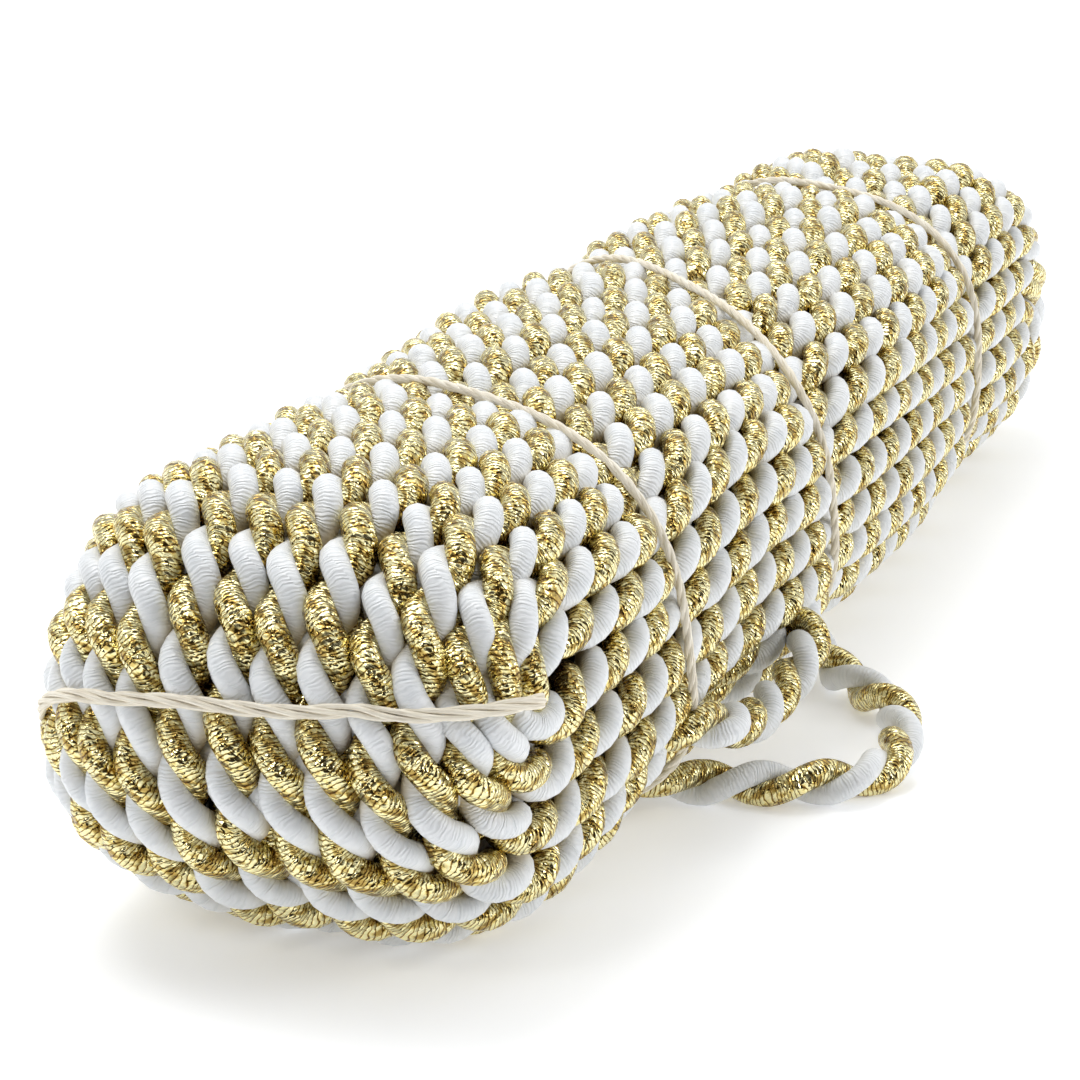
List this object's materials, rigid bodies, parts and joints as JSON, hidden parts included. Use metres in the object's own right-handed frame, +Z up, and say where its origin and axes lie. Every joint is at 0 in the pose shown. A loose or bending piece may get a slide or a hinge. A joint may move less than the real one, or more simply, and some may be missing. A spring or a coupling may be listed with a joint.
{
  "type": "hank of twisted cord trim",
  "caption": "Long rounded hank of two-ply gold and white twisted trimming cord, wound lengthwise and tied with thin cotton twine, with one loose bight at its side.",
  "frame": {"origin": "middle of the base of the hank's box", "axes": "+Y along the hank from its thick end to its far end, +Z up, the loose bight on the +X side"},
  "size_m": [0.0909, 0.2695, 0.0587],
  "materials": {
    "gold_white_cord": "one satin white ply and one sparkling gold metallic ply",
    "cotton_twine": "matte unbleached cotton"
  },
  "bodies": {
    "root": {"hank": "gold_white_cord", "loose_bight": "gold_white_cord", "slack_run": "gold_white_cord", "tie_band_near_end": "cotton_twine", "tie_loop_near": "cotton_twine", "tie_loop_middle": "cotton_twine", "tie_loop_far": "cotton_twine"}
  },
  "joints": []
}
